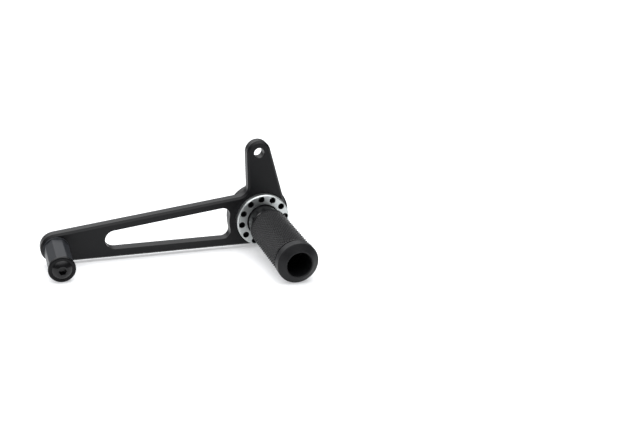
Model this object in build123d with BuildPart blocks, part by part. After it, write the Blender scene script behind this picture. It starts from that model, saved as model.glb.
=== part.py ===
from build123d import *

import os
from math import hypot

# Motorcycle foot control: a round knurled foot peg with a foot lever that pivots around its base.
#
# Millimetres. The peg's axis is the Y axis. The mounting face that bolts against the motorcycle
# is the plane Y = 0, and "outward" is towards -Y, where the rider's foot is. The lever's arm
# points to -X and its linkage ear to +Z. The origin is on the peg's axis in the mounting face.
# Every station below is a distance outward from the mounting face, and every turned outline is
# a list of (station, radius) corners.

os.makedirs("parts", exist_ok=True)

# ---------------------------------------------------------------- driving dimensions

# flanged spindle
flange_radius = 24.4
flange_thickness = 6.5
flange_edge_chamfer = 0.6
shoulder_radius = 11.1
journal_radius = 10.0
spigot_radius = 8.0
spigot_length = 9.7
bolt_clearance_radius = 5.25

# shouldered locating pin in the mounting face
pin_radius = 2.0
pin_root_radius = 2.6
pin_offset = 15.0
pin_depth = 5.0
pin_proud = 4.0
pin_chamfer = 0.4

# lever plate
lever_gap = 0.8
lever_thickness = 8.0
hub_radius = 21.0
toe_reach = 155.7
toe_end_radius = 11.0
ear_x = -0.7
ear_reach = 53.8
ear_radius = 9.3
ear_hole_radius = 4.0
ear_fillet = 8.0
front_edge_chamfer = 1.5
back_edge_chamfer = 0.4
hole_edge_chamfer = 0.2

# lightening slot in the lever's arm
slot_far_x = -113.2
slot_far_z = 0.2
slot_far_radius = 7.45
slot_near_x = -14.0
slot_near_z = 0.35
slot_near_radius = 13.8
slot_hub_radius = 26.1
slot_corner_fillet = 6.0
slot_edge_chamfer = 0.25
slot_corner_count = 2

# ball bearings, 20 x 27 x 4
bearing_bore_radius = 10.0
bearing_inner_land = 11.1
bearing_outer_land = 12.4
bearing_outer_radius = 13.5
bearing_width = 4.0
ball_radius = 0.9
ball_count = 20
raceway_clearance = 0.05
pocket_clearance = 0.12
cage_inner_radius = 11.4
cage_outer_radius = 12.1
cage_width = 2.8
seal_thickness = 0.3
seal_inset = 0.1
seal_inner_radius = 11.2

# bearing seat in the lever's hub, and the silver ring that closes it
seat_lip_radius = 12.4
seat_lip_thickness = 1.0
ring_radius = 20.9
ring_bore_radius = 12.8
ring_thickness = 4.4
ring_spigot_radius = 15.0
ring_spigot_length = 2.8
ring_spigot_gap = 0.2
ring_hole_radius = 2.4
ring_hole_circle = 17.4
ring_hole_count = 12
ring_hole_turn = 4.0
ring_hole_chamfer = 0.1
ring_outer_chamfer = 0.8
ring_inner_chamfer = 0.5

# thrust washer and dust seal
washer_inner_radius = 12.6
washer_outer_radius = 20.0
washer_thickness = 0.7
dust_seal_groove_radius = 11.4
dust_seal_radius = 12.7
dust_seal_width = 1.6
dust_seal_offset = 1.4

# peg body
neck_radius = 12.5
neck_nose_radius = 11.1
neck_nose_length = 0.6
tube_start = 32.5
tube_end = 91.0
tube_radius = 15.0
tube_base_chamfer = 0.6
spigot_end_gap = 0.3
bolt_seat = 40.0
peg_bore_radius = 8.6
cap_socket_radius = 11.5
cap_socket_depth = 11.0

# end cap
cap_radius = 15.15
cap_gap_width = 2.2
cap_gap_radius = 13.3
cap_rim_width = 6.0
cap_length = 11.5
cap_nose_radius = 10.2
cap_bore_radius = 9.2
cap_plug_gap = 0.5
cap_rim_fillet = 0.7
cap_rim_chamfer = 0.4
cap_bore_chamfer = 0.3
o_ring_groove_radius = 10.5
o_ring_section = 1.0
o_ring_offset = 6.0

# M10 mounting bolt with a reduced shank, and its lock washer
bolt_radius = 5.0
bolt_shank_radius = 4.5
bolt_length = 60.0
bolt_head_radius = 8.0
bolt_head_height = 10.0
bolt_key = 8.0
bolt_key_depth = 5.0
bolt_edge_chamfer = 0.8
lock_washer_radius = 8.0
lock_washer_thickness = 2.0

# toe peg
toe_washer_radius = 9.3
toe_washer_thickness = 1.6
toe_tube_radius = 5.5
toe_bore_radius = 4.1
toe_tube_end = 48.7
toe_sleeve_radius = 8.9
toe_sleeve_gap = 0.15
toe_sleeve_chamfer = 0.4
flat_count = 8
flat_distance = 8.35
flat_turn = 37.0
bush_outer_radius = 7.0
bush_clearance = 0.05
bush_length = 8.0
bush_inset = 0.05
collar_radius = 9.5
collar_thickness = 2.9
collar_front_fillet = 1.1
collar_back_fillet = 0.5
collar_recess_radius = 7.15
collar_recess_depth = 1.6

# M8 button head screw
screw_radius = 4.0
screw_length = 40.0
screw_head_radius = 7.0
screw_rim_height = 1.6
screw_dome_height = 2.5
screw_flat_radius = 3.6
screw_key = 5.0
screw_key_depth = 3.2
screw_edge_chamfer = 0.6

# ---------------------------------------------------------------- stations worked out from them

shoulder_end = flange_thickness + lever_gap + seat_lip_thickness
rear_bearing = shoulder_end
front_bearing = rear_bearing + bearing_width
bearings_end = front_bearing + bearing_width
lever_back = flange_thickness + lever_gap
lever_front = lever_back + lever_thickness
ring_front = lever_front + ring_thickness
spigot_end = bearings_end + spigot_length
cap_front = tube_end + cap_length
cap_rim_start = tube_end + cap_gap_width
cap_rim_end = cap_rim_start + cap_rim_width
bolt_head_seat = bolt_seat + lock_washer_thickness
bolt_head_top = bolt_head_seat + bolt_head_height
bolt_end = bolt_head_seat - bolt_length
ball_circle_radius = (bearing_inner_land + bearing_outer_land) / 2
toe_washer_front = lever_front + toe_washer_thickness
toe_sleeve_back = toe_washer_front + toe_sleeve_gap
toe_sleeve_front = toe_tube_end - toe_sleeve_gap
collar_front = toe_tube_end + collar_thickness
screw_seat = collar_front - collar_recess_depth
screw_top = screw_seat + screw_rim_height + screw_dome_height
screw_end = screw_seat - screw_length
screw_dome_radius = hypot(
    screw_head_radius,
    (screw_head_radius**2 - screw_flat_radius**2 - screw_dome_height**2) / (2 * screw_dome_height),
)
spigot_seat = lever_front - ring_spigot_length - ring_spigot_gap
ring_spigot_back = lever_front - ring_spigot_length
seal_groove_start = bearings_end + dust_seal_offset
seal_groove_end = seal_groove_start + dust_seal_width
plug_back = tube_end - cap_socket_depth + cap_plug_gap
o_ring_start = tube_end - o_ring_offset
o_ring_end = o_ring_start + o_ring_section

outward = (0, -1, 0)


# ---------------------------------------------------------------- shared helpers


def turned(outline, axis_x=0.0, mode=Mode.ADD):
    """Revolve a (station, radius) outline about the line parallel to Y at axis_x."""
    axial_plane = Plane(origin=(axis_x, 0, 0), x_dir=outward, z_dir=(-1, 0, 0))
    with BuildSketch(axial_plane) as section:
        with BuildLine():
            Polyline(*outline, close=True)
        make_face()
    revolve(section.sketch, axis=Axis((axis_x, 0, 0), outward), mode=mode)


def tube(start, end, inner_radius, outer_radius):
    """Corners of a plain ring from one station to another."""
    return [
        (start, inner_radius),
        (end, inner_radius),
        (end, outer_radius),
        (start, outer_radius),
    ]


def facing(station):
    """The plane across the peg's axis at a station, with X to the right and Z up."""
    return Plane.XZ.offset(station)


def circles_at(shape, station, radius, axis_x=0.0):
    """Circular edges of a turned shape with this station and radius about axis_x."""
    tolerance = 1e-3
    return [
        edge
        for edge in shape.edges().filter_by(GeomType.CIRCLE)
        if abs(edge.radius - radius) < tolerance
        and abs(edge.arc_center.Y + station) < tolerance
        and hypot(edge.arc_center.X - axis_x, edge.arc_center.Z) < tolerance
    ]


def hull_of(*circles):
    """The outline that a belt makes round circles given as (x, z, radius)."""
    with BuildSketch() as hull:
        for x, z, radius in circles:
            with Locations((x, z)):
                Circle(radius)
        make_hull()
    return hull.sketch


def hexagon_key(station, across_flats, depth, axis_x=0.0):
    """Cut a hexagon socket inwards from a screw head's top."""
    with BuildSketch(facing(station)) as key:
        with Locations((axis_x, 0)):
            RegularPolygon(across_flats / 2, 6, major_radius=False)
    extrude(key.sketch, amount=-depth, mode=Mode.SUBTRACT)


def save(piece, label):
    """Name a finished piece and write it as its own STEP file."""
    piece.part.label = label
    export_step(piece.part, f"parts/{label}.step")


# ---------------------------------------------------------------- fixed side: spindle and pin

with BuildPart() as flanged_spindle:
    turned(
        [
            (0, bolt_clearance_radius),
            (spigot_end, bolt_clearance_radius),
            (spigot_end, spigot_radius),
            (bearings_end, spigot_radius),
            (bearings_end, journal_radius),
            (shoulder_end, journal_radius),
            (shoulder_end, shoulder_radius),
            (flange_thickness, shoulder_radius),
            (flange_thickness, flange_radius),
            (0, flange_radius),
        ]
    )
    chamfer(circles_at(flanged_spindle, flange_thickness, flange_radius), flange_edge_chamfer)
    chamfer(circles_at(flanged_spindle, 0, flange_radius), flange_edge_chamfer)
    chamfer(circles_at(flanged_spindle, spigot_end, spigot_radius), flange_edge_chamfer)
    with BuildSketch(facing(0)):
        with Locations((0, pin_offset)):
            Circle(pin_root_radius)
    extrude(amount=pin_depth, mode=Mode.SUBTRACT)
save(flanged_spindle, "flanged_spindle")

with BuildPart() as locating_pin:
    with BuildSketch(facing(-pin_proud)):
        with Locations((0, pin_offset)):
            Circle(pin_radius)
    extrude(amount=pin_proud)
    with BuildSketch(facing(0)):
        with Locations((0, pin_offset)):
            Circle(pin_root_radius)
    extrude(amount=pin_depth)
    chamfer(locating_pin.edges().group_by(Axis.Y)[-1], pin_chamfer)
save(locating_pin, "locating_pin")

with BuildPart() as thrust_washer:
    turned(
        tube(
            flange_thickness,
            flange_thickness + washer_thickness,
            washer_inner_radius,
            washer_outer_radius,
        )
    )
save(thrust_washer, "thrust_washer")

# ---------------------------------------------------------------- bearings, rear and front


def raceway(station):
    """Cut the groove that the balls run in, on whichever race is being built."""
    groove_plane = Plane(origin=(0, 0, 0), x_dir=outward, z_dir=(-1, 0, 0))
    with BuildSketch(groove_plane) as groove:
        with Locations((station + bearing_width / 2, ball_circle_radius)):
            Circle(ball_radius + raceway_clearance)
    revolve(groove.sketch, axis=Axis((0, 0, 0), outward), mode=Mode.SUBTRACT)


def ball_places(station):
    """The plane across a bearing's middle, where its balls and cage lie."""
    return facing(station + bearing_width / 2)


for side, station in (("rear", rear_bearing), ("front", front_bearing)):
    with BuildPart() as inner_race:
        turned(tube(station, station + bearing_width, bearing_bore_radius, bearing_inner_land))
        raceway(station)
    save(inner_race, f"{side}_bearing_inner_race")

    with BuildPart() as outer_race:
        turned(tube(station, station + bearing_width, bearing_outer_land, bearing_outer_radius))
        raceway(station)
    save(outer_race, f"{side}_bearing_outer_race")

    with BuildPart(ball_places(station)) as balls:
        with PolarLocations(ball_circle_radius, ball_count):
            Sphere(ball_radius)
    save(balls, f"{side}_bearing_balls")

    with BuildPart(ball_places(station)) as cage:
        Cylinder(cage_outer_radius, cage_width)
        Cylinder(cage_inner_radius, cage_width, mode=Mode.SUBTRACT)
        with PolarLocations(ball_circle_radius, ball_count):
            Cylinder(
                ball_radius + pocket_clearance,
                cage_outer_radius,
                rotation=(0, 90, 0),
                mode=Mode.SUBTRACT,
            )
    save(cage, f"{side}_bearing_cage")

    with BuildPart() as seals:
        for seal_start in (
            station + seal_inset,
            station + bearing_width - seal_inset - seal_thickness,
        ):
            turned(
                tube(seal_start, seal_start + seal_thickness, seal_inner_radius, bearing_outer_land)
            )
    save(seals, f"{side}_bearing_seals")

# ---------------------------------------------------------------- lever

with BuildPart() as lever_plate:
    with BuildSketch(facing(lever_back)) as outline:
        add(hull_of((0, 0, hub_radius), (ear_x, ear_reach, ear_radius)))
        with Locations((ear_x - hub_radius - ear_radius, ear_reach / 2)):
            Rectangle(2 * hub_radius, 2 * ear_reach, mode=Mode.SUBTRACT)
        add(hull_of((0, 0, hub_radius), (-toe_reach, 0, toe_end_radius)))
        ear_corner = outline.vertices().sort_by_distance((ear_x - ear_radius, hub_radius, 0))[0]
        fillet(ear_corner, ear_fillet)
    extrude(amount=lever_thickness)
    chamfer(lever_plate.edges().group_by(Axis.Y)[0], front_edge_chamfer)
    chamfer(lever_plate.edges().group_by(Axis.Y)[-1], back_edge_chamfer)

    with BuildSketch(facing(lever_back)) as slot:
        add(
            hull_of(
                (slot_far_x, slot_far_z, slot_far_radius),
                (slot_near_x, slot_near_z, slot_near_radius),
            )
        )
        Circle(slot_hub_radius, mode=Mode.SUBTRACT)
        fillet(slot.vertices().sort_by(Axis.X)[-slot_corner_count:], slot_corner_fillet)
    extrude(amount=lever_thickness, mode=Mode.SUBTRACT)
    slot_edges = lever_plate.edges(Select.LAST).group_by(Axis.Y)
    chamfer(slot_edges[0] + slot_edges[-1], slot_edge_chamfer)

    with BuildSketch(facing(lever_back)):
        with Locations((ear_x, ear_reach)):
            Circle(ear_hole_radius)
    extrude(amount=lever_thickness, mode=Mode.SUBTRACT)
    hole_edges = lever_plate.edges(Select.LAST).group_by(Axis.Y)
    chamfer(hole_edges[0] + hole_edges[-1], hole_edge_chamfer)

    with BuildSketch(facing(lever_back)):
        with Locations((-toe_reach, 0)):
            Circle(screw_radius)
    extrude(amount=lever_thickness, mode=Mode.SUBTRACT)

    turned(
        [
            (lever_back, 0),
            (lever_front, 0),
            (lever_front, ring_spigot_radius),
            (spigot_seat, ring_spigot_radius),
            (spigot_seat, bearing_outer_radius),
            (shoulder_end, bearing_outer_radius),
            (shoulder_end, seat_lip_radius),
            (lever_back, seat_lip_radius),
        ],
        mode=Mode.SUBTRACT,
    )
save(lever_plate, "lever_plate")

with BuildPart() as retaining_ring:
    turned(
        [
            (ring_spigot_back, bearing_outer_radius),
            (bearings_end, bearing_outer_radius),
            (bearings_end, ring_bore_radius),
            (ring_front, ring_bore_radius),
            (ring_front, ring_radius),
            (lever_front, ring_radius),
            (lever_front, ring_spigot_radius),
            (ring_spigot_back, ring_spigot_radius),
        ]
    )
    chamfer(circles_at(retaining_ring, ring_front, ring_radius), ring_outer_chamfer)
    chamfer(circles_at(retaining_ring, ring_front, ring_bore_radius), ring_inner_chamfer)
    with BuildSketch(facing(lever_front)):
        with PolarLocations(ring_hole_circle, ring_hole_count, start_angle=90 + ring_hole_turn):
            Circle(ring_hole_radius)
    extrude(amount=ring_thickness, mode=Mode.SUBTRACT)
    chamfer(retaining_ring.edges(Select.LAST).group_by(Axis.Y)[0], ring_hole_chamfer)
save(retaining_ring, "bearing_retaining_ring")

# ---------------------------------------------------------------- peg

with BuildPart() as peg_body:
    turned(
        [
            (bearings_end, spigot_radius),
            (spigot_end + spigot_end_gap, spigot_radius),
            (spigot_end + spigot_end_gap, bolt_clearance_radius),
            (bolt_seat, bolt_clearance_radius),
            (bolt_seat, peg_bore_radius),
            (tube_end - cap_socket_depth, peg_bore_radius),
            (tube_end - cap_socket_depth, cap_socket_radius),
            (tube_end, cap_socket_radius),
            (tube_end, tube_radius),
            (tube_start, tube_radius),
            (tube_start, neck_radius),
            (seal_groove_end, neck_radius),
            (seal_groove_end, dust_seal_groove_radius),
            (seal_groove_start, dust_seal_groove_radius),
            (seal_groove_start, neck_radius),
            (bearings_end + neck_nose_length, neck_radius),
            (bearings_end + neck_nose_length, neck_nose_radius),
            (bearings_end, neck_nose_radius),
        ]
    )
    chamfer(circles_at(peg_body, tube_start, tube_radius), tube_base_chamfer)
save(peg_body, "peg_body")

with BuildPart() as front_dust_seal:
    turned(tube(seal_groove_start, seal_groove_end, dust_seal_groove_radius, dust_seal_radius))
save(front_dust_seal, "front_dust_seal")

with BuildPart() as end_cap:
    turned(
        [
            (plug_back, cap_bore_radius),
            (cap_front, cap_bore_radius),
            (cap_front, cap_nose_radius),
            (cap_rim_end, cap_radius),
            (cap_rim_start, cap_radius),
            (cap_rim_start, cap_gap_radius),
            (tube_end, cap_gap_radius),
            (tube_end, cap_socket_radius),
            (o_ring_end, cap_socket_radius),
            (o_ring_end, o_ring_groove_radius),
            (o_ring_start, o_ring_groove_radius),
            (o_ring_start, cap_socket_radius),
            (plug_back, cap_socket_radius),
        ]
    )
    chamfer(circles_at(end_cap, cap_rim_start, cap_radius), cap_rim_chamfer)
    fillet(circles_at(end_cap, cap_rim_end, cap_radius), cap_rim_fillet)
    chamfer(circles_at(end_cap, cap_front, cap_bore_radius), cap_bore_chamfer)
save(end_cap, "end_cap")

with BuildPart() as cap_o_ring:
    turned(tube(o_ring_start, o_ring_end, o_ring_groove_radius, cap_socket_radius))
save(cap_o_ring, "cap_o_ring")

with BuildPart() as lock_washer:
    turned(tube(bolt_seat, bolt_head_seat, bolt_clearance_radius, lock_washer_radius))
save(lock_washer, "bolt_lock_washer")

with BuildPart() as mounting_bolt:
    turned(
        [
            (bolt_end, 0),
            (bolt_head_top, 0),
            (bolt_head_top, bolt_head_radius),
            (bolt_head_seat, bolt_head_radius),
            (bolt_head_seat, bolt_shank_radius),
            (0, bolt_shank_radius),
            (0, bolt_radius),
            (bolt_end, bolt_radius),
        ]
    )
    chamfer(circles_at(mounting_bolt, bolt_end, bolt_radius), bolt_edge_chamfer)
    chamfer(circles_at(mounting_bolt, bolt_head_top, bolt_head_radius), bolt_edge_chamfer)
    hexagon_key(bolt_head_top, bolt_key, bolt_key_depth)
save(mounting_bolt, "mounting_bolt")

# ---------------------------------------------------------------- toe peg

with BuildPart() as toe_base_washer:
    turned(tube(lever_front, toe_washer_front, toe_bore_radius, toe_washer_radius), -toe_reach)
    chamfer(
        circles_at(toe_base_washer, toe_washer_front, toe_washer_radius, -toe_reach),
        toe_sleeve_chamfer,
    )
save(toe_base_washer, "toe_base_washer")

with BuildPart() as toe_spacer_tube:
    turned(tube(toe_washer_front, toe_tube_end, toe_bore_radius, toe_tube_radius), -toe_reach)
save(toe_spacer_tube, "toe_spacer_tube")

for side, bush_start in (
    ("inner", toe_sleeve_back + bush_inset),
    ("outer", toe_sleeve_front - bush_inset - bush_length),
):
    with BuildPart() as toe_bush:
        turned(
            tube(
                bush_start,
                bush_start + bush_length,
                toe_tube_radius + bush_clearance,
                bush_outer_radius,
            ),
            -toe_reach,
        )
    save(toe_bush, f"toe_{side}_bush")

with BuildPart() as toe_sleeve:
    turned(tube(toe_sleeve_back, toe_sleeve_front, bush_outer_radius, toe_sleeve_radius), -toe_reach)
    chamfer(
        circles_at(toe_sleeve, toe_sleeve_back, toe_sleeve_radius, -toe_reach)
        + circles_at(toe_sleeve, toe_sleeve_front, toe_sleeve_radius, -toe_reach),
        toe_sleeve_chamfer,
    )
    with BuildSketch(facing(toe_sleeve_back)):
        with Locations((-toe_reach, 0)):
            with PolarLocations(
                flat_distance + toe_sleeve_radius / 2, flat_count, start_angle=flat_turn
            ):
                Rectangle(toe_sleeve_radius, toe_sleeve_radius)
    extrude(amount=toe_sleeve_front - toe_sleeve_back, mode=Mode.SUBTRACT)
save(toe_sleeve, "toe_sleeve")

with BuildPart() as toe_end_collar:
    turned(
        [
            (toe_tube_end, toe_bore_radius),
            (screw_seat, toe_bore_radius),
            (screw_seat, collar_recess_radius),
            (collar_front, collar_recess_radius),
            (collar_front, collar_radius),
            (toe_tube_end, collar_radius),
        ],
        -toe_reach,
    )
    fillet(
        circles_at(toe_end_collar, collar_front, collar_radius, -toe_reach), collar_front_fillet
    )
    fillet(
        circles_at(toe_end_collar, toe_tube_end, collar_radius, -toe_reach), collar_back_fillet
    )
save(toe_end_collar, "toe_end_collar")

with BuildPart() as toe_screw:
    axial_plane = Plane(origin=(-toe_reach, 0, 0), x_dir=outward, z_dir=(-1, 0, 0))
    with BuildSketch(axial_plane) as screw_section:
        with BuildLine():
            Polyline(
                (screw_top, screw_flat_radius),
                (screw_top, 0),
                (screw_end, 0),
                (screw_end, screw_radius),
                (screw_seat, screw_radius),
                (screw_seat, screw_head_radius),
                (screw_seat + screw_rim_height, screw_head_radius),
            )
            RadiusArc(
                (screw_seat + screw_rim_height, screw_head_radius),
                (screw_top, screw_flat_radius),
                screw_dome_radius,
            )
        make_face()
    revolve(axis=Axis((-toe_reach, 0, 0), outward))
    chamfer(circles_at(toe_screw, screw_end, screw_radius, -toe_reach), screw_edge_chamfer)
    hexagon_key(screw_top, screw_key, screw_key_depth, -toe_reach)
save(toe_screw, "toe_screw")
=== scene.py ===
from math import atan2, cos, floor, hypot, pi, radians

import bpy
from bpy.props import FloatProperty, FloatVectorProperty, IntProperty, PointerProperty
from mathutils import Matrix, Vector


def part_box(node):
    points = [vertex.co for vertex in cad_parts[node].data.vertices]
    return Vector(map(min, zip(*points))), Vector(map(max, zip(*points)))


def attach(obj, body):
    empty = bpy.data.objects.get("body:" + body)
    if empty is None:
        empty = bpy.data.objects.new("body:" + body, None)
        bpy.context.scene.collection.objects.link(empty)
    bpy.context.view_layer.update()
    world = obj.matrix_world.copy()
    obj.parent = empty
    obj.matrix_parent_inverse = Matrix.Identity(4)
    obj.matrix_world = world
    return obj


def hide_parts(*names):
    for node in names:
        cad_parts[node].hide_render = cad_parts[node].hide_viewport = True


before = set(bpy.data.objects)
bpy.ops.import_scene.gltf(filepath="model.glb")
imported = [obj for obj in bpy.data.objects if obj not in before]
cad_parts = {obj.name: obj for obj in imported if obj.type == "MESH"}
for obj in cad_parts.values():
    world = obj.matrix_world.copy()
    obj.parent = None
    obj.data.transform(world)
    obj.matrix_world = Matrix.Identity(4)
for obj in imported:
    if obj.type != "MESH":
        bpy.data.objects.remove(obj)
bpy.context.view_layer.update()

bl_info = {
    "name": "Foot Control Finisher",
    "version": (1, 0, 0),
    "blender": (4, 5, 0),
    "location": "View3D > Sidebar > Foot Control",
    "description": "Knurls, threads and finishes the parts of a motorcycle foot control",
    "category": "Object",
}

# Metres. The peg's axis is the Y axis, outward is -Y, the lever's arm points to -X and its ear
# to +Z. A station is a distance outward from the mounting face, and a turned outline is a list
# of (station, radius) corners.

PEG_LOW, PEG_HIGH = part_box("peg_body")
BOLT_LOW, BOLT_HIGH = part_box("mounting_bolt")
TOE_LOW, TOE_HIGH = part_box("toe_end_collar")
TOE_X = (TOE_LOW.x + TOE_HIGH.x) / 2
TOE_RADIUS = (TOE_HIGH.x - TOE_LOW.x) / 2
FLANGE_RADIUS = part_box("flanged_spindle")[1].x
CAP_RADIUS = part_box("end_cap")[1].x
SMOOTH_ANGLE = radians(24)
MILLIMETRES = 1000.0
NEARBY = 0.00003

# Stations of the three rims that the control rests on when it lies on a table.
FLANGE_RIM = 0.0059
CAP_RIM = 0.0987
COLLAR_RIM = 0.0505
FLOOR_GAP = 0.00005

# The retaining ring, in the millimetres that the materials work in: the silver gives way to painted
# shade inside the bore and round each hole.
HOLE_CIRCLE = 17.4
HOLE_RADIUS = 2.42
HOLE_COUNT = 12
HOLE_START = radians(94)
RING_BORE = 13.2
EDGE_BLUR = 0.08
TUBE_SHOULDER = (34.9, 35.1)

# The hexagon socket's corner and mouth, as shares of half its width across flats.
KEY_CORNER = 1.16
KEY_MOUTH = 1.22
KEY_POINT = 0.3

# The stage: where the lights look, each light's place and width, and where the camera stands
# and which way it faces.
LIGHT_AIM = Vector((-0.07, -0.04, 0.0))
KEY_PLACE = Vector((0.16, -0.02, 0.85))
KEY_WIDTH = 0.7
RIM_PLACE = Vector((-0.35, 0.75, 0.45))
RIM_WIDTH = 0.8
CAMERA_PLACE = Vector((-0.1948, -0.6515, 0.2895))
CAMERA_FORWARD = Vector((0.3284, 0.8578, -0.3954))
CAMERA_RIGHT = Vector((0.9340, -0.3573, 0.0006))
CAMERA_SHIFT = 0.00078


def length(label, text, default):
    """A size in metres that a user may change."""
    return FloatProperty(
        name=label, description=text, default=default, min=0.0, unit="LENGTH", subtype="DISTANCE"
    )


def colour(label, text, default):
    """A surface colour that a user may change."""
    return FloatVectorProperty(
        name=label, description=text, default=default, min=0.0, max=1.0, size=4, subtype="COLOR"
    )


# ---------------------------------------------------------------- settings


class PegSizes(bpy.types.PropertyGroup):
    """Sizes of the knurled peg body."""

    radius: length("Tube radius", "Radius over the knurl's crests", PEG_HIGH.x)
    tube_start: length("Tube start", "Station where the thick tube begins", 0.0325)
    tube_end: length("Tube end", "Station where the tube meets the end cap", -PEG_LOW.y)
    neck_radius: length("Neck radius", "Radius of the smooth neck inside the ring", 0.0125)
    heel: length("Heel", "Station of the end that presses on the front bearing", 0.0163)
    heel_radius: length("Heel radius", "Radius of the end that presses on the bearing", 0.0111)
    heel_top: length("Heel top", "Station where the heel widens to the neck", 0.0169)
    seal_start: length("Seal start", "Station where the dust seal's groove begins", 0.0177)
    seal_end: length("Seal end", "Station where the dust seal's groove ends", 0.0193)
    seal_radius: length("Seal radius", "Radius of the dust seal's groove", 0.0114)
    spigot_radius: length("Spigot bore", "Radius of the bore round the spindle", 0.0080)
    spigot_end: length("Spigot end", "Station where the bore round the spindle ends", 0.0263)
    shank_bore: length("Shank bore", "Radius of the hole for the bolt's shank", 0.00525)
    ledge: length("Ledge", "Station that the bolt's washer bears on", 0.0400)
    bore_radius: length("Bore radius", "Radius of the bore for the bolt's head", 0.0086)
    socket_radius: length("Socket radius", "Radius of the socket for the end cap", 0.0115)
    socket_depth: length("Socket depth", "Depth of the socket for the end cap", 0.0110)
    base_chamfer: length("Base chamfer", "Chamfer where the tube begins", 0.0006)
    base_band: length("Base band", "Smooth width between the chamfer and the knurl", 0.0023)
    end_band: length("End band", "Smooth width between the knurl and the end cap", 0.0003)
    blank: length("Blank", "How far the smooth band lies under the crests", 0.0002)
    run_out: length("Run-out", "Length in which the knurl's valleys rise to the band", 0.0004)
    knurl_depth: length("Knurl depth", "Height of a crest over its valley", 0.00072)
    knurl_flat: length("Knurl flat", "Size of the flat left on each crest", 0.00016)
    columns: IntProperty(
        name="Knurl columns", description="Crests and valleys around the tube", default=94, min=24
    )
    rows: IntProperty(
        name="Knurl rows", description="Crests and valleys along the tube", default=36, min=8
    )


class BoltSizes(bpy.types.PropertyGroup):
    """Sizes of the mounting bolt."""

    radius: length("Thread radius", "Radius over the thread's crests", 0.005)
    tip_radius: length("Tip radius", "Radius of the flat end", 0.0040)
    tip_chamfer: length("Tip chamfer", "Length of the chamfer at the end", 0.0008)
    tip_centre: length("Tip centre", "Radius inside which the end is one face", 0.0030)
    shank_radius: length("Shank radius", "Radius of the reduced shank", 0.0045)
    shank_fillet: length("Shank fillet", "Size of the fillet under the head", 0.0004)
    head_radius: length("Head radius", "Radius of the socket head", BOLT_HIGH.x)
    head_height: length("Head height", "Height of the socket head", 0.010)
    head_edge: length("Head edge", "Size of the small chamfers on the head", 0.0003)
    head_crown: length("Head crown", "Length of the rounding at the top of the head", 0.0009)
    head_inset: length("Head inset", "Width of the rounding at the top of the head", 0.0010)
    key_width: length("Key width", "Width across flats of the hexagon socket", 0.008)
    key_depth: length("Key depth", "Depth of the hexagon socket", 0.005)
    key_cone: length("Key cone", "Depth of the cone under the hexagon socket", 0.0008)
    pitch: length("Thread pitch", "Distance between neighbouring crests", 0.0015)
    thread_depth: length("Thread depth", "Height of a crest over its root", 0.0009)
    thread_top: length("Thread top", "Distance of the thread from the mounting face", 0.0004)
    fade_top: length("Top fade", "Length in which the thread fades at the top", 0.0012)
    fade_tip: length("Tip fade", "Length in which the thread fades at the tip", 0.0015)
    sides: IntProperty(name="Sides", description="Sides around the bolt", default=48, min=12)
    steps: IntProperty(
        name="Steps per turn", description="Rings of points in one pitch", default=8, min=4
    )


class Finishes(bpy.types.PropertyGroup):
    """Colours of the surfaces."""

    black: colour("Black", "Bead-blasted black anodising", (0.0030, 0.0031, 0.0037, 1.0))
    black_worn: colour("Pale grain", "Tops of the blasted grain", (0.0085, 0.0088, 0.0104, 1.0))
    knurl: colour("Knurl", "Valleys of the knurl", (0.0030, 0.0031, 0.0036, 1.0))
    knurl_crest: colour("Knurl crest", "Rubbed knurl crests", (0.0170, 0.0173, 0.0188, 1.0))
    cap: colour("End cap", "Satin black of the end cap", (0.0050, 0.0051, 0.0058, 1.0))
    silver: colour("Silver", "Clear anodised ring", (0.56, 0.585, 0.58, 1.0))
    grey: colour("Dark grey", "Dark anodised toe sleeve", (0.020, 0.0215, 0.0245, 1.0))
    collar: colour("Collar black", "Gloss black toe collar", (0.0025, 0.0025, 0.0030, 1.0))
    steel: colour("Steel", "Bright bearing steel", (0.56, 0.57, 0.58, 1.0))
    screw: colour("Screw black", "Black oxide screw head", (0.0045, 0.0045, 0.0050, 1.0))
    # Painted shade for the insides of the ring's holes and bore.
    painted_hole_shade: colour("Painted hole shade", "Shade painted inside the ring's holes and bore", (0.0030, 0.0030, 0.0035, 1.0))
    oxide: colour("Black oxide", "Oiled black steel bolt", (0.020, 0.020, 0.023, 1.0))
    zinc: colour("Zinc", "Zinc plated washer", (0.50, 0.51, 0.53, 1.0))
    brass: colour("Brass", "Ball cages", (0.62, 0.42, 0.16, 1.0))
    bronze: colour("Bronze", "Sintered bronze", (0.42, 0.24, 0.11, 1.0))
    rubber: colour("Rubber", "Seals and the O-ring", (0.012, 0.012, 0.013, 1.0))


class StageSettings(bpy.types.PropertyGroup):
    """Floor, lights and lens."""

    floor: colour("Floor", "Pale floor", (0.62, 0.625, 0.63, 1.0))
    glow: FloatProperty(
        name="Glow", description="Strength of the light table under the floor", default=0.4, min=0.0
    )
    floor_width: length("Floor width", "Width of the floor", 8.0)
    floor_front: length("Floor front", "How far the floor reaches in front of the origin", 0.37)
    sky: FloatProperty(
        name="Sky", description="Strength of the light overhead", default=2.5, min=0.0
    )
    dusk: FloatProperty(
        name="Dusk", description="Strength of the light at the horizon", default=0.08, min=0.0
    )
    key: FloatProperty(
        name="Key light",
        description="Power of the overhead soft box",
        default=2.0,
        min=0.0,
        unit="POWER",
    )
    rim: FloatProperty(
        name="Rim light",
        description="Power of the light behind",
        default=0.5,
        min=0.0,
        unit="POWER",
    )
    lens: FloatProperty(
        name="Lens", description="Focal length", default=52.38, min=1.0, unit="CAMERA"
    )


# ---------------------------------------------------------------- shader expressions


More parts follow.
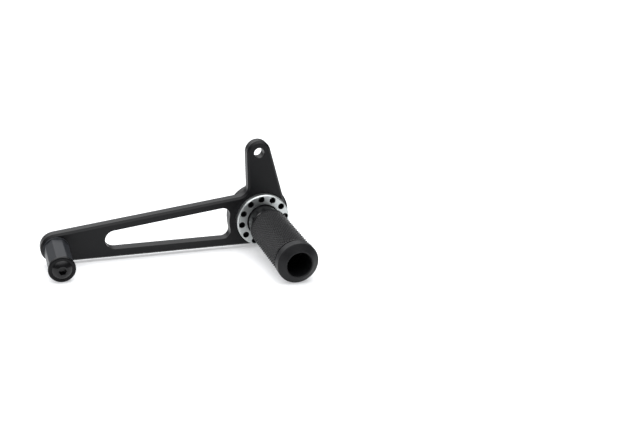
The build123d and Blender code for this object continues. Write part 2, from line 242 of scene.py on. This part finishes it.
class Wire:
    """A node's output that takes part in Python arithmetic by adding Math nodes."""

    def __init__(self, finish, socket):
        self.finish = finish
        self.socket = socket

    def sum(self, operation, first, second):
        return self.finish.node(
            "ShaderNodeMath", {"operation": operation}, {0: first, 1: second}
        )

    def __add__(self, other):
        return self.sum("ADD", self, other)

    def __radd__(self, other):
        return self.sum("ADD", other, self)

    def __sub__(self, other):
        return self.sum("SUBTRACT", self, other)

    def __rsub__(self, other):
        return self.sum("SUBTRACT", other, self)

    def __mul__(self, other):
        return self.sum("MULTIPLY", self, other)

    def __rmul__(self, other):
        return self.sum("MULTIPLY", other, self)

    def __truediv__(self, other):
        return self.sum("DIVIDE", self, other)

    def __rtruediv__(self, other):
        return self.sum("DIVIDE", other, self)

    def __pow__(self, other):
        return self.sum("POWER", self, other)

    def through(self, operation, other=0.0):
        """Another Math operation on this value."""
        return self.sum(operation, self, other)


class Finish:
    """One procedural surface: a Principled shader and the nodes that feed it."""

    def __init__(self, name, **constants):
        self.material = bpy.data.materials.new(name)
        self.material.use_nodes = True
        self.tree = self.material.node_tree
        self.shader = self.tree.nodes["Principled BSDF"]
        for socket, value in constants.items():
            self.shader.inputs[socket.replace("_", " ")].default_value = value

    def feed(self, socket, value):
        if isinstance(value, Wire):
            self.tree.links.new(value.socket, socket)
        else:
            socket.default_value = value

    def node(self, kind, settings, values, output=0):
        """Add a node, set it up, fill its sockets and return one of its outputs."""
        made = self.tree.nodes.new(kind)
        for setting, value in settings.items():
            setattr(made, setting, value)
        for socket, value in values.items():
            self.feed(made.inputs[socket], value)
        return Wire(self, made.outputs[output])

    def place(self, axis_x=0.0):
        """Object coordinates in millimetres, centred on an axis parallel to Y."""
        here = self.node("ShaderNodeTexCoord", {}, {}, "Object")
        scale = (MILLIMETRES, MILLIMETRES, MILLIMETRES)
        shift = (-MILLIMETRES * axis_x, 0.0, 0.0)
        return self.node(
            "ShaderNodeMapping", {}, {"Vector": here, "Scale": scale, "Location": shift}
        )

    def noise(self, vector, scale, detail=2.0, roughness=0.5):
        """Cloudy noise between about 0 and 1, with scale in features per millimetre."""
        return self.node(
            "ShaderNodeTexNoise",
            {},
            {"Vector": vector, "Scale": scale, "Detail": detail, "Roughness": roughness},
        )

    def step(self, value, low, high):
        """0 below low, 1 above high, and an eased ramp between them."""
        return self.node(
            "ShaderNodeMapRange",
            {"interpolation_type": "SMOOTHSTEP"},
            {"Value": value, "From Min": low, "From Max": high},
        )

    def blend(self, share, first, second):
        """A colour between two colours."""
        return self.node(
            "ShaderNodeMix", {"data_type": "RGBA"}, {0: share, 6: first, 7: second}, 2
        )

    def split(self, vector):
        """The X, Y and Z parts of a vector."""
        apart = self.node("ShaderNodeSeparateXYZ", {}, {0: vector}, "X")
        parts = apart.socket.node.outputs
        return {axis: Wire(self, parts[axis]) for axis in "XYZ"}

    def radius(self, vector):
        """Distance from the axis, and the position along it."""
        parts = self.split(vector)
        return (parts["X"] * parts["X"] + parts["Z"] * parts["Z"]) ** 0.5, parts["Y"]

    def tool_marks(self, vector, fineness):
        """Random lines left by a lathe tool: rings on a face and hoops on a wall."""
        radius, along = self.radius(vector)
        track = self.node(
            "ShaderNodeCombineXYZ", {}, {0: radius * fineness, 1: along * fineness, 2: 0.0}
        )
        return self.noise(track, 1.0, 3.0, 0.6)

    def dress(self, base, roughness, height, depth):
        """Feed the shader with a colour, a roughness and a relief of this depth in metres."""
        self.feed(self.shader.inputs["Base Color"], base)
        self.feed(self.shader.inputs["Roughness"], roughness)
        relief = self.node(
            "ShaderNodeBump", {}, {"Height": height, "Distance": depth, "Strength": 1.0}
        )
        self.feed(self.shader.inputs["Normal"], relief)
        return self.material


class Sky(Finish):
    """A soft light overhead that fades towards the horizon, sooner in front than behind."""

    def __init__(self, name):
        self.world = bpy.data.worlds.new(name)
        self.world.use_nodes = True
        self.tree = self.world.node_tree
        self.shader = self.tree.nodes["Background"]

    def lit(self, bright, dim):
        parts = self.split(self.node("ShaderNodeTexCoord", {}, {}, "Generated"))
        share = self.step(0.25 * parts["Y"] + parts["Z"], 0.35, 0.80)
        self.shader.inputs["Color"].default_value = (0.985, 0.99, 1.0, 1.0)
        self.feed(self.shader.inputs["Strength"], dim + (bright - dim) * share)
        return self.world


def blasted(name, low, high, gloss):
    """Bead-blasted and dyed aluminium: fine even grain with a slow change of tone."""
    finish = Finish(name, Specular_IOR_Level=gloss)
    here = finish.place()
    grain = finish.noise(here, 3.2, 3.0, 0.65)
    pits = finish.noise(here, 1.1, 2.0, 0.5)
    tone = finish.noise(here, 0.045, 2.0, 0.5)
    speck = finish.step(grain, 0.58, 0.75)
    base = finish.blend(0.25 * tone + 0.45 * speck + 0.2 * pits, low, high)
    roughness = 0.30 + 0.12 * grain + 0.06 * tone
    return finish.dress(base, roughness, 0.6 * grain + 0.4 * pits, 0.000035)


def turned(name, low, high, shine, fineness, depth, axis_x=0.0, metal=1.0, gloss=0.5):
    """Lathe-turned metal with tool marks round its axis."""
    finish = Finish(name, Metallic=metal, Specular_IOR_Level=gloss)
    here = finish.place(axis_x)
    marks = finish.tool_marks(here, fineness)
    cloud = finish.noise(here, 0.22, 3.0, 0.55)
    grain = finish.noise(here, 2.6, 2.0, 0.5)
    base = finish.blend(0.45 * marks + 0.35 * cloud + 0.2 * grain, low, high)
    roughness = shine + 0.14 * marks + 0.08 * cloud + 0.06 * grain
    return finish.dress(base, roughness, 0.75 * marks + 0.25 * grain, depth)


def painted_hole_shade(name, low, high, shade_colour):
    """Bright-turned silver ring; black shade is painted inside its twelve holes and its bore."""
    finish = Finish(name)
    here = finish.place()
    marks = finish.tool_marks(here, 4.0)
    cloud = finish.noise(here, 0.22, 3.0, 0.55)
    radius, _ = finish.radius(here)
    parts = finish.split(here)
    sector = 2 * pi / HOLE_COUNT
    angle = parts["Z"].through("ARCTAN2", parts["X"])
    share = (angle / sector + (HOLE_COUNT + 0.5 - HOLE_START / sector)).through("FRACT")
    aside = (share - 0.5) * sector
    apart = (radius - HOLE_CIRCLE) ** 2.0 + radius * HOLE_CIRCLE * aside * aside
    # Painted shade: black inside the bore and over each hole and its chamfer, silver elsewhere.
    face = finish.step(radius, RING_BORE, RING_BORE + EDGE_BLUR)
    clear_of_painted_shade = face * finish.step(apart**0.5, HOLE_RADIUS, HOLE_RADIUS + EDGE_BLUR)
    silver = finish.blend(0.5 * marks + 0.5 * cloud, low, high)
    base = finish.blend(clear_of_painted_shade, shade_colour, silver)
    finish.feed(finish.shader.inputs["Metallic"], clear_of_painted_shade)
    roughness = 0.30 + 0.14 * marks + 0.08 * cloud
    return finish.dress(base, roughness, marks, 0.000006)


def knurled(name, valley, crest, top, depth):
    """Black knurl whose crests are rubbed a little paler; smooth and semi-gloss on the neck."""
    finish = Finish(name, Specular_IOR_Level=0.22, Coat_Roughness=0.08)
    here = finish.place()
    radius, along = finish.radius(here)
    grain = finish.noise(here, 3.0, 3.0, 0.6)
    patch = finish.noise(here, 0.12, 2.0, 0.5)
    height = finish.step(radius, top - depth, top)
    tube = finish.step(-1.0 * along, *TUBE_SHOULDER)
    rubbed = height * tube * (0.55 + 0.45 * patch)
    base = finish.blend(0.85 * rubbed + 0.15 * grain, valley, crest)
    finish.feed(finish.shader.inputs["Coat Weight"], 0.3 - 0.3 * tube)
    roughness = 0.24 + 0.14 * tube + 0.10 * grain
    return finish.dress(base, roughness, grain * tube, 0.000012)


def moulded(name, low, high, shine):
    """Moulded rubber: matt, with a faint pebble."""
    finish = Finish(name, Specular_IOR_Level=0.35)
    here = finish.place()
    pebble = finish.noise(here, 2.2, 3.0, 0.6)
    bloom = finish.noise(here, 0.15, 2.0, 0.5)
    base = finish.blend(0.5 * bloom + 0.3 * pebble, low, high)
    return finish.dress(base, shine + 0.15 * pebble, pebble, 0.00003)


def sintered(name, low, high):
    """Oil-filled sintered bronze: open pores in a soft metal surface."""
    finish = Finish(name, Metallic=1.0)
    here = finish.place()
    pores = finish.node(
        "ShaderNodeTexVoronoi", {"feature": "F1"}, {"Vector": here, "Scale": 3.4}, "Distance"
    )
    cloud = finish.noise(here, 0.3, 3.0, 0.5)
    solid = finish.step(pores, 0.12, 0.35)
    base = finish.blend(0.7 * solid + 0.3 * cloud, low, high)
    return finish.dress(base, 0.55 - 0.15 * solid, solid, 0.00004)


def darker(shade, factor):
    """The same hue at another strength."""
    return (shade[0] * factor, shade[1] * factor, shade[2] * factor, 1.0)


def paint(node, material):
    """Give a carried-over part its finish."""
    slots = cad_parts[node].data.materials
    slots.clear()
    slots.append(material)


# ---------------------------------------------------------------- modelling helpers


def start_ring(name, axis_x, station, radius, sides):
    """A new circle across an axis parallel to Y, ready to be extruded."""
    bpy.ops.object.select_all(action="DESELECT")
    bpy.ops.mesh.primitive_circle_add(
        vertices=sides, radius=radius, location=(axis_x, -station, 0), rotation=(pi / 2, 0, 0)
    )
    piece = bpy.context.active_object
    piece.name = name
    piece.data.name = name
    bpy.ops.object.transform_apply(location=True, rotation=True, scale=True)
    bpy.ops.object.mode_set(mode="EDIT")
    bpy.ops.mesh.select_all(action="SELECT")
    return piece


def extrude_ring(axis_x, before, after):
    """Extrude the selected ring from one (station, radius) corner to the next."""
    bpy.ops.mesh.extrude_region_move(
        TRANSFORM_OT_translate={"value": (0, before[0] - after[0], 0)}
    )
    share = after[1] / before[1]
    if share != 1.0:
        bpy.ops.transform.resize(
            value=(share, 1, share), center_override=(axis_x, -after[0], 0)
        )


def turn_outline(name, axis_x, outline, sides):
    """Turn an outline ring by ring. The last ring stays selected, in edit mode."""
    piece = start_ring(name, axis_x, outline[0][0], outline[0][1], sides)
    for before, after in zip(outline, outline[1:]):
        extrude_ring(axis_x, before, after)
    return piece


def close_tube():
    """Join a hollow turned piece's last ring to its first."""
    bpy.ops.mesh.select_all(action="DESELECT")
    bpy.ops.mesh.select_mode(type="EDGE")
    bpy.ops.mesh.select_non_manifold()
    bpy.ops.mesh.bridge_edge_loops()


def select_points(piece, wanted):
    """Select in edit mode exactly the points that wanted accepts."""
    bpy.ops.object.mode_set(mode="OBJECT")
    for part in (piece.data.polygons, piece.data.edges):
        for item in part:
            item.select = False
    for point in piece.data.vertices:
        point.select = wanted(point.co)
    bpy.ops.object.mode_set(mode="EDIT")
    bpy.ops.mesh.select_mode(type="VERT")


def finish_mesh(piece, body, replaced, material):
    """Turn the faces outward, shade the piece and hang it on its body."""
    bpy.ops.object.mode_set(mode="EDIT")
    bpy.ops.mesh.select_all(action="SELECT")
    bpy.ops.mesh.normals_make_consistent(inside=False)
    bpy.ops.object.mode_set(mode="OBJECT")
    bpy.ops.object.shade_smooth_by_angle(angle=SMOOTH_ANGLE)
    piece.data.materials.append(material)
    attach(piece, body)
    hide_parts(replaced)


# ---------------------------------------------------------------- pieces


class FOOTCONTROL_OT_knurled_peg(bpy.types.Operator):
    """Turn the peg body ring by ring and raise its diamond knurl"""

    bl_idname = "footcontrol.knurled_peg"
    bl_label = "Knurled Peg Body"

    def execute(self, context):
        sizes = context.scene.peg_sizes
        shades = context.scene.finishes
        valley = sizes.radius - sizes.knurl_depth
        blank = sizes.radius - sizes.blank
        socket = sizes.tube_end - sizes.socket_depth
        band_start = sizes.tube_start + sizes.base_chamfer
        knurl_start = band_start + sizes.base_band
        knurl_end = sizes.tube_end - sizes.end_band
        row = (knurl_end - knurl_start) / sizes.rows
        outline = [
            (sizes.heel, sizes.spigot_radius),
            (sizes.spigot_end, sizes.spigot_radius),
            (sizes.spigot_end, sizes.shank_bore),
            (sizes.ledge, sizes.shank_bore),
            (sizes.ledge, sizes.bore_radius),
            (socket, sizes.bore_radius),
            (socket, sizes.socket_radius),
            (sizes.tube_end, sizes.socket_radius),
            (sizes.tube_end, valley),
        ]
        outline += [(knurl_end - row * step, valley) for step in range(sizes.rows + 1)]
        outline += [
            (knurl_start - sizes.run_out, blank),
            (band_start, blank),
            (sizes.tube_start, blank - sizes.base_chamfer),
            (sizes.tube_start, sizes.neck_radius),
            (sizes.seal_end, sizes.neck_radius),
            (sizes.seal_end, sizes.seal_radius),
            (sizes.seal_start, sizes.seal_radius),
            (sizes.seal_start, sizes.neck_radius),
            (sizes.heel_top, sizes.neck_radius),
            (sizes.heel_top, sizes.heel_radius),
            (sizes.heel, sizes.heel_radius),
        ]
        peg = turn_outline("knurled_peg_body", 0.0, outline, sizes.columns)
        close_tube()

        def in_knurl(point):
            on_skin = hypot(point.x, point.z) > valley - NEARBY
            return on_skin and knurl_start - row / 4 < -point.y < knurl_end + row / 4

        def is_crest(point):
            level = round((knurl_end + point.y) / row)
            column = round(atan2(point.x, point.z) / (2 * pi) * sizes.columns)
            inside = 0 < level < sizes.rows
            return in_knurl(point) and inside and (level + column) % 2 == 0

        select_points(peg, is_crest)
        lift = (sizes.radius + sizes.knurl_flat / 2) / valley
        bpy.ops.transform.resize(value=(lift, 1, lift), center_override=(0, 0, 0))
        select_points(peg, in_knurl)
        bpy.ops.mesh.select_mode(type="FACE")
        bpy.ops.mesh.quads_convert_to_tris(quad_method="SHORTEST_DIAGONAL")
        select_points(peg, lambda point: hypot(point.x, point.z) > sizes.radius)
        bpy.ops.mesh.bevel(affect="VERTICES", offset=sizes.knurl_flat, segments=1)
        skin = knurled(
            "black_knurl",
            shades.knurl,
            shades.knurl_crest,
            sizes.radius * MILLIMETRES,
            sizes.knurl_depth * MILLIMETRES,
        )
        finish_mesh(peg, "peg_mount", "peg_body", skin)
        return {"FINISHED"}


class FOOTCONTROL_OT_mounting_bolt(bpy.types.Operator):
    """Turn the socket head bolt, sink its hexagon socket and cut its thread"""

    bl_idname = "footcontrol.mounting_bolt"
    bl_label = "Mounting Bolt"

    def execute(self, context):
        sizes = context.scene.bolt_sizes
        shades = context.scene.finishes
        tip = -BOLT_HIGH.y
        top = -BOLT_LOW.y
        seat = top - sizes.head_height
        fine = sizes.pitch / sizes.steps
        rings = floor(-tip / fine)
        flat = sizes.key_width / 2
        start = tip + sizes.tip_chamfer
        edge = sizes.head_edge
        outline = [(tip, sizes.tip_centre), (tip, sizes.tip_radius)]
        outline += [(start + fine * step, sizes.radius) for step in range(rings - 4)]
        outline += [
            (0.0, sizes.shank_radius),
            (seat - sizes.shank_fillet, sizes.shank_radius),
            (seat, sizes.shank_radius + sizes.shank_fillet),
            (seat, sizes.head_radius - edge),
            (seat + edge, sizes.head_radius),
            (top - sizes.head_crown, sizes.head_radius),
            (top - edge, sizes.head_radius - edge),
            (top, sizes.head_radius - sizes.head_inset),
            (top, flat * KEY_MOUTH),
            (top - edge, flat * KEY_CORNER),
            (top - sizes.key_depth, flat * KEY_CORNER),
            (top - sizes.key_depth - sizes.key_cone, flat * KEY_POINT),
        ]
        bolt = turn_outline("mounting_bolt_threaded", 0.0, outline, sizes.sides)
        bpy.ops.mesh.select_all(action="DESELECT")
        bpy.ops.mesh.select_mode(type="EDGE")
        bpy.ops.mesh.select_non_manifold()
        bpy.ops.mesh.fill_holes(sides=sizes.sides)
        bpy.ops.object.mode_set(mode="OBJECT")
        for point in bolt.data.vertices:
            station = -point.co.y
            spread = hypot(point.co.x, point.co.z)
            turn = atan2(point.co.z, point.co.x)
            below = -station - sizes.thread_top
            if below > 0 and spread > sizes.radius - NEARBY:
                phase = (station / sizes.pitch + turn / (2 * pi)) % 1.0
                groove = min(1.0, max(0.0, 1.25 - 2.5 * abs(2 * phase - 1)))
                fade = min(1.0, below / sizes.fade_top, (station - tip) / sizes.fade_tip)
                reach = 1 - sizes.thread_depth * groove * max(0.0, fade) / spread
                point.co.x *= reach
                point.co.z *= reach
            if abs(spread - flat * KEY_CORNER) < NEARBY:
                corner = (turn % (pi / 3)) - pi / 6
                reach = flat / cos(corner) / spread
                point.co.x *= reach
                point.co.z *= reach
        steel = turned(
            "oiled_black_steel",
            darker(shades.oxide, 0.7),
            darker(shades.oxide, 1.8),
            shine=0.30,
            fineness=3.0,
            depth=0.000006,
            metal=0.6,
        )
        finish_mesh(bolt, "peg_mount", "mounting_bolt", steel)
        return {"FINISHED"}


class FOOTCONTROL_OT_fixed_parts(bpy.types.Operator):
    """Finish the parts that stay still with the peg"""

    bl_idname = "footcontrol.fixed_parts"
    bl_label = "Fixed Parts"

    def execute(self, context):
        shades = context.scene.finishes
        anodised = blasted("blasted_black_flange", shades.black, shades.black_worn, gloss=0.24)
        paint("flanged_spindle", anodised)
        cap = turned(
            "satin_black_cap",
            darker(shades.cap, 0.7),
            darker(shades.cap, 1.9),
            shine=0.34,
            fineness=2.2,
            depth=0.00001,
            metal=0.0,
            gloss=0.23,
        )
        paint("end_cap", cap)
        steel = turned(
            "ground_steel",
            darker(shades.steel, 0.8),
            shades.steel,
            shine=0.16,
            fineness=5.0,
            depth=0.000002,
        )
        for node in ("locating_pin", "rear_bearing_inner_race", "front_bearing_inner_race"):
            paint(node, steel)
        bronze = sintered("bronze_thrust_washer", darker(shades.bronze, 0.5), shades.bronze)
        paint("thrust_washer", bronze)
        rubber = moulded(
            "black_rubber_ring", darker(shades.rubber, 0.6), darker(shades.rubber, 2.0), shine=0.5
        )
        for node in ("front_dust_seal", "cap_o_ring"):
            paint(node, rubber)
        zinc = turned(
            "zinc_washer",
            darker(shades.zinc, 0.7),
            shades.zinc,
            shine=0.28,
            fineness=2.5,
            depth=0.000008,
        )
        paint("bolt_lock_washer", zinc)
        return {"FINISHED"}


class FOOTCONTROL_OT_lever_parts(bpy.types.Operator):
    """Finish the lever, its ring and the bearing parts that turn with it"""

    bl_idname = "footcontrol.lever_parts"
    bl_label = "Lever and Ring"

    def execute(self, context):
        shades = context.scene.finishes
        anodised = blasted("blasted_black_lever", shades.black, shades.black_worn, gloss=0.2)
        paint("lever_plate", anodised)
        # The ring's silver gets painted shade in its holes and bore.
        silver = painted_hole_shade(
            "silver_with_painted_hole_shade",
            darker(shades.silver, 0.86),
            darker(shades.silver, 1.12),
            shades.painted_hole_shade,
        )
        paint("bearing_retaining_ring", silver)
        race = turned(
            "ground_steel_outer",
            darker(shades.steel, 0.8),
            shades.steel,
            shine=0.16,
            fineness=5.0,
            depth=0.000002,
        )
        for node in ("rear_bearing_outer_race", "front_bearing_outer_race"):
            paint(node, race)
        seal = moulded(
            "black_rubber_seal", darker(shades.rubber, 0.6), darker(shades.rubber, 2.0), shine=0.5
        )
        for node in ("rear_bearing_seals", "front_bearing_seals"):
            paint(node, seal)
        return {"FINISHED"}


class FOOTCONTROL_OT_bearing_parts(bpy.types.Operator):
    """Finish the balls and cages"""

    bl_idname = "footcontrol.bearing_parts"
    bl_label = "Balls and Cages"

    def execute(self, context):
        shades = context.scene.finishes
        ball = turned(
            "polished_ball_steel",
            darker(shades.steel, 0.9),
            shades.steel,
            shine=0.06,
            fineness=1.0,
            depth=0.000001,
        )
        cage = turned(
            "pressed_brass",
            darker(shades.brass, 0.75),
            shades.brass,
            shine=0.26,
            fineness=2.0,
            depth=0.000006,
        )
        for side in ("rear", "front"):
            paint(f"{side}_bearing_balls", ball)
            paint(f"{side}_bearing_cage", cage)
        return {"FINISHED"}


class FOOTCONTROL_OT_toe_parts(bpy.types.Operator):
    """Finish the toe peg's parts"""

    bl_idname = "footcontrol.toe_parts"
    bl_label = "Toe Peg"

    def execute(self, context):
        shades = context.scene.finishes
        grey = turned(
            "dark_anodised_grey",
            darker(shades.grey, 0.8),
            darker(shades.grey, 1.3),
            shine=0.24,
            fineness=2.4,
            depth=0.000008,
            axis_x=TOE_X,
            metal=0.0,
            gloss=0.12,
        )
        for node in ("toe_sleeve", "toe_base_washer"):
            paint(node, grey)
        collar = turned(
            "gloss_black_collar",
            darker(shades.collar, 0.8),
            darker(shades.collar, 2.0),
            shine=0.12,
            fineness=2.4,
            depth=0.000002,
            axis_x=TOE_X,
            metal=0.0,
            gloss=0.14,
        )
        paint("toe_end_collar", collar)
        screw = turned(
            "oxide_screw",
            darker(shades.screw, 0.75),
            darker(shades.screw, 1.5),
            shine=0.10,
            fineness=3.0,
            depth=0.000002,
            axis_x=TOE_X,
            metal=0.0,
            gloss=0.28,
        )
        paint("toe_screw", screw)
        tube = turned(
            "drawn_steel_tube",
            darker(shades.steel, 0.6),
            shades.steel,
            shine=0.28,
            fineness=2.0,
            depth=0.000006,
            axis_x=TOE_X,
        )
        paint("toe_spacer_tube", tube)
        bush = sintered("bronze_bush", darker(shades.bronze, 0.5), shades.bronze)
        for node in ("toe_inner_bush", "toe_outer_bush"):
            paint(node, bush)
        return {"FINISHED"}


def resting_plane():
    """A point of the table and its normal, where flange, cap and toe collar all touch it."""
    touching = (
        (Vector((0, -FLANGE_RIM, 0)), FLANGE_RADIUS),
        (Vector((0, -CAP_RIM, 0)), CAP_RADIUS),
        (Vector((TOE_X, -COLLAR_RIM, 0)), TOE_RADIUS),
    )
    normal = Vector((0, 0, 1))
    # Each rim's lowest point depends on the plane's tilt, so the two are found in turn.
    for _ in range(8):
        down = Vector((-normal.x, 0, -normal.z)).normalized()
        back, front, toe = (centre + down * radius for centre, radius in touching)
        normal = (front - back).cross(toe - back).normalized()
        if normal.z < 0:
            normal = -normal
    return back, normal


class FOOTCONTROL_OT_stage(bpy.types.Operator):
    """Add the pale floor, the soft lights and the camera"""

    bl_idname = "footcontrol.stage"
    bl_label = "Floor, Lights and Camera"

    def execute(self, context):
        stage = context.scene.stage_settings
        point, normal = resting_plane()
        bpy.ops.object.select_all(action="DESELECT")
        bpy.ops.mesh.primitive_plane_add(size=stage.floor_width)
        table = bpy.context.active_object
        table.name = "studio_floor"
        back = Vector((0, stage.floor_width / 2 - stage.floor_front, 0))
        table.data.transform(Matrix.Translation(back))
        tilt = Vector((0, 0, 1)).rotation_difference(normal).to_matrix().to_4x4()
        table.data.transform(Matrix.Translation(point - normal * FLOOR_GAP) @ tilt)
        surface = Finish("pale_floor", Specular_IOR_Level=0.1, Emission_Strength=stage.glow)
        here = surface.place()
        fleck = surface.noise(here, 0.02, 3.0, 0.5)
        base = surface.blend(fleck, darker(stage.floor, 0.985), stage.floor)
        glow = surface.blend(fleck, (0.97, 0.98, 1.0, 1.0), (1.0, 1.0, 1.0, 1.0))
        surface.feed(surface.shader.inputs["Emission Color"], glow)
        table.data.materials.append(surface.dress(base, 0.85 + 0.05 * fleck, fleck, 0.00001))

        sky = Sky("soft_sky")
        context.scene.world = sky.lit(stage.sky, stage.dusk)

        for name, spot, width, power in (
            ("key_soft_box", KEY_PLACE, KEY_WIDTH, stage.key),
            ("rim_soft_box", RIM_PLACE, RIM_WIDTH, stage.rim),
        ):
            bpy.ops.object.light_add(type="AREA", location=spot)
            lamp = bpy.context.active_object
            lamp.name = name
            lamp.data.shape = "SQUARE"
            lamp.data.size = width
            lamp.data.energy = power
            lamp.rotation_euler = (LIGHT_AIM - spot).to_track_quat("-Z", "Y").to_euler()

        bpy.ops.object.camera_add()
        viewer = bpy.context.active_object
        viewer.name = "catalogue_camera"
        viewer.data.sensor_width = 36.0
        viewer.data.lens = stage.lens
        viewer.data.clip_start = 0.01
        viewer.data.shift_x = -CAMERA_SHIFT
        viewer.data.shift_y = CAMERA_SHIFT
        forward = CAMERA_FORWARD.normalized()
        right = CAMERA_RIGHT - forward * CAMERA_RIGHT.dot(forward)
        right.normalize()
        up = right.cross(forward)
        turn = Matrix((right, up, -forward)).transposed()
        viewer.matrix_world = Matrix.Translation(CAMERA_PLACE) @ turn.to_4x4()
        context.scene.camera = viewer
        context.scene.view_settings.view_transform = "Standard"
        return {"FINISHED"}


class FOOTCONTROL_PT_panel(bpy.types.Panel):
    """Lists every piece of the foot control"""

    bl_idname = "FOOTCONTROL_PT_panel"
    bl_label = "Foot Control"
    bl_space_type = "VIEW_3D"
    bl_region_type = "UI"
    bl_category = "Foot Control"

    def draw(self, context):
        for step in STEPS:
            self.layout.operator(step.bl_idname)
        for group in SETTINGS:
            box = self.layout.box()
            box.label(text=group.__doc__)
            for setting in group.__annotations__:
                box.prop(getattr(context.scene, SETTINGS[group]), setting)


SETTINGS = {
    PegSizes: "peg_sizes",
    BoltSizes: "bolt_sizes",
    Finishes: "finishes",
    StageSettings: "stage_settings",
}
STEPS = (
    FOOTCONTROL_OT_stage,
    FOOTCONTROL_OT_knurled_peg,
    FOOTCONTROL_OT_mounting_bolt,
    FOOTCONTROL_OT_fixed_parts,
    FOOTCONTROL_OT_lever_parts,
    FOOTCONTROL_OT_bearing_parts,
    FOOTCONTROL_OT_toe_parts,
)
CLASSES = (*SETTINGS, *STEPS, FOOTCONTROL_PT_panel)


def register():
    for kind in CLASSES:
        bpy.utils.register_class(kind)
    for group, place in SETTINGS.items():
        setattr(bpy.types.Scene, place, PointerProperty(type=group))


def unregister():
    for place in SETTINGS.values():
        delattr(bpy.types.Scene, place)
    for kind in reversed(CLASSES):
        bpy.utils.unregister_class(kind)


def main():
    register()
    for step in STEPS:
        family, action = step.bl_idname.split(".")
        getattr(getattr(bpy.ops, family), action)()


if __name__ == "__main__":
    main()
